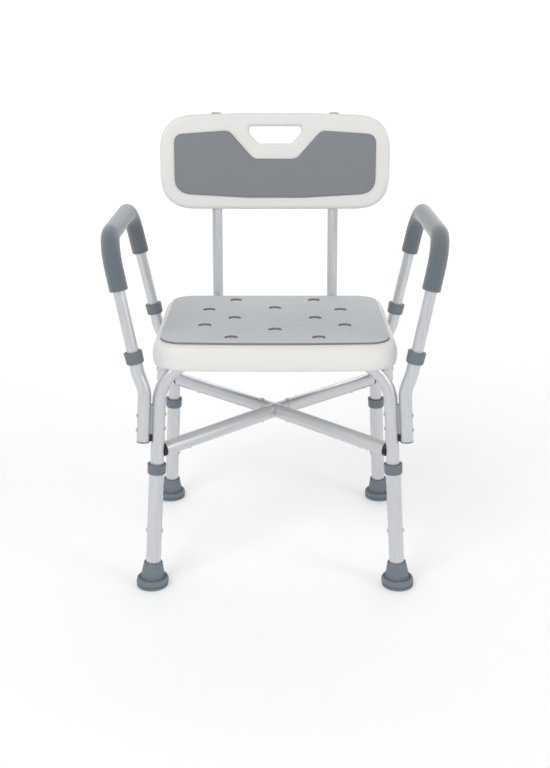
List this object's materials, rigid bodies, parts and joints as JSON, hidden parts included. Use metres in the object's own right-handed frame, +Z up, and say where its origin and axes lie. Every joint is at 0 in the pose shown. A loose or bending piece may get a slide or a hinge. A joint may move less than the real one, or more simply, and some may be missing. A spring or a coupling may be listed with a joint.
{
  "type": "shower chair",
  "caption": "Height-adjustable bath and shower chair with a padded seat, padded backrest, two armrest loops and an X-braced aluminium frame.",
  "frame": {"origin": "on the floor, under the middle of the chair's overall box", "axes": "+Z up, the sitter faces -Y, the chair's left side is +X"},
  "size_m": [0.636, 0.5122, 0.8578],
  "materials": {
    "aluminium": "satin anodised aluminium tube",
    "steel": "plain steel fasteners and snap buttons",
    "white_plastic": "fine-textured white blow-moulded polyethylene",
    "grey_plastic": "smooth grey moulded plastic",
    "black_plastic": "black moulded nylon",
    "seat_foam": "light grey closed-cell EVA foam",
    "back_foam": "mid grey closed-cell EVA foam",
    "grip_foam": "grey foam rubber sleeve",
    "rubber": "dark blue-grey rubber"
  },
  "bodies": {
    "chassis": {"arm_post_front_left": "aluminium", "arm_collar_front_left": "grey_plastic", "arm_fixing_front_left": "steel", "brace_tube_front_left": "aluminium", "brace_saddle_front_left": "black_plastic", "arm_post_front_right": "aluminium", "arm_collar_front_right": "grey_plastic", "arm_fixing_front_right": "steel", "brace_tube_front_right": "aluminium", "brace_saddle_front_right": "black_plastic", "arm_post_rear_left": "aluminium", "arm_collar_rear_left": "grey_plastic", "arm_fixing_rear_left": "steel", "brace_tube_rear_left": "aluminium", "brace_saddle_rear_left": "black_plastic", "arm_post_rear_right": "aluminium", "arm_collar_rear_right": "grey_plastic", "arm_fixing_rear_right": "steel", "brace_tube_rear_right": "aluminium", "brace_saddle_rear_right": "black_plastic", "front_frame": "aluminium", "rear_frame": "aluminium", "brace_hub": "aluminium", "seat_panel": "white_plastic", "seat_pad": "seat_foam", "back_panel": "white_plastic", "back_pad": "back_foam", "back_bracket_front": "grey_plastic", "back_bracket_rear": "grey_plastic", "back_tube_left": "aluminium", "back_tube_right": "aluminium"},
    "leg_front_left": {"leg_extension_front_left": "aluminium", "leg_collar_front_left": "grey_plastic", "foot_front_left": "rubber"},
    "button_front_left_outer": {"leg_button_front_left_outer": "steel"},
    "button_front_left_inner": {"leg_button_front_left_inner": "steel"},
    "leg_front_right": {"leg_extension_front_right": "aluminium", "leg_collar_front_right": "grey_plastic", "foot_front_right": "rubber"},
    "button_front_right_inner": {"leg_button_front_right_inner": "steel"},
    "button_front_right_outer": {"leg_button_front_right_outer": "steel"},
    "leg_rear_left": {"leg_extension_rear_left": "aluminium", "leg_collar_rear_left": "grey_plastic", "foot_rear_left": "rubber"},
    "button_rear_left_outer": {"leg_button_rear_left_outer": "steel"},
    "button_rear_left_inner": {"leg_button_rear_left_inner": "steel"},
    "leg_rear_right": {"leg_extension_rear_right": "aluminium", "leg_collar_rear_right": "grey_plastic", "foot_rear_right": "rubber"},
    "button_rear_right_inner": {"leg_button_rear_right_inner": "steel"},
    "button_rear_right_outer": {"leg_button_rear_right_outer": "steel"},
    "arm_left": {"arm_loop_left": "aluminium", "arm_grip_left": "grip_foam"},
    "arm_right": {"arm_loop_right": "aluminium", "arm_grip_right": "grip_foam"}
  },
  "joints": [
    {"name": "height_front_left", "type": "slide", "parent": "chassis", "child": "leg_front_left", "axis": [0.0597, -0.0776, -0.9952], "range_m": [0, 0.09]},
    {"name": "press_front_left_outer", "type": "slide", "parent": "chassis", "child": "button_front_left_outer", "axis": [-0.9982, -0.0023, -0.0597], "range_m": [0, 0.004], "stiffness_N_per_m": 600, "springref_m": -0.002},
    {"name": "press_front_left_inner", "type": "slide", "parent": "chassis", "child": "button_front_left_inner", "axis": [0.9982, 0.0023, 0.0597], "range_m": [0, 0.004], "stiffness_N_per_m": 600, "springref_m": -0.002},
    {"name": "height_front_right", "type": "slide", "parent": "chassis", "child": "leg_front_right", "axis": [-0.0597, -0.0776, -0.9952], "range_m": [0, 0.09]},
    {"name": "press_front_right_inner", "type": "slide", "parent": "chassis", "child": "button_front_right_inner", "axis": [-0.9982, 0.0023, 0.0597], "range_m": [0, 0.004], "stiffness_N_per_m": 600, "springref_m": -0.002},
    {"name": "press_front_right_outer", "type": "slide", "parent": "chassis", "child": "button_front_right_outer", "axis": [0.9982, -0.0023, -0.0597], "range_m": [0, 0.004], "stiffness_N_per_m": 600, "springref_m": -0.002},
    {"name": "height_rear_left", "type": "slide", "parent": "chassis", "child": "leg_rear_left", "axis": [0.0597, 0.0776, -0.9952], "range_m": [0, 0.09]},
    {"name": "press_rear_left_outer", "type": "slide", "parent": "chassis", "child": "button_rear_left_outer", "axis": [-0.9982, 0.0023, -0.0597], "range_m": [0, 0.004], "stiffness_N_per_m": 600, "springref_m": -0.002},
    {"name": "press_rear_left_inner", "type": "slide", "parent": "chassis", "child": "button_rear_left_inner", "axis": [0.9982, -0.0023, 0.0597], "range_m": [0, 0.004], "stiffness_N_per_m": 600, "springref_m": -0.002},
    {"name": "height_rear_right", "type": "slide", "parent": "chassis", "child": "leg_rear_right", "axis": [-0.0597, 0.0776, -0.9952], "range_m": [0, 0.09]},
    {"name": "press_rear_right_inner", "type": "slide", "parent": "chassis", "child": "button_rear_right_inner", "axis": [-0.9982, -0.0023, 0.0597], "range_m": [0, 0.004], "stiffness_N_per_m": 600, "springref_m": -0.002},
    {"name": "press_rear_right_outer", "type": "slide", "parent": "chassis", "child": "button_rear_right_outer", "axis": [0.9982, 0.0023, -0.0597], "range_m": [0, 0.004], "stiffness_N_per_m": 600, "springref_m": -0.002},
    {"name": "arm_height_left", "type": "slide", "parent": "chassis", "child": "arm_left", "axis": [0.1891, 0, 0.982], "range_m": [0, 0.02]},
    {"name": "arm_height_right", "type": "slide", "parent": "chassis", "child": "arm_right", "axis": [-0.1891, 0, 0.982], "range_m": [0, 0.02]}
  ]
}
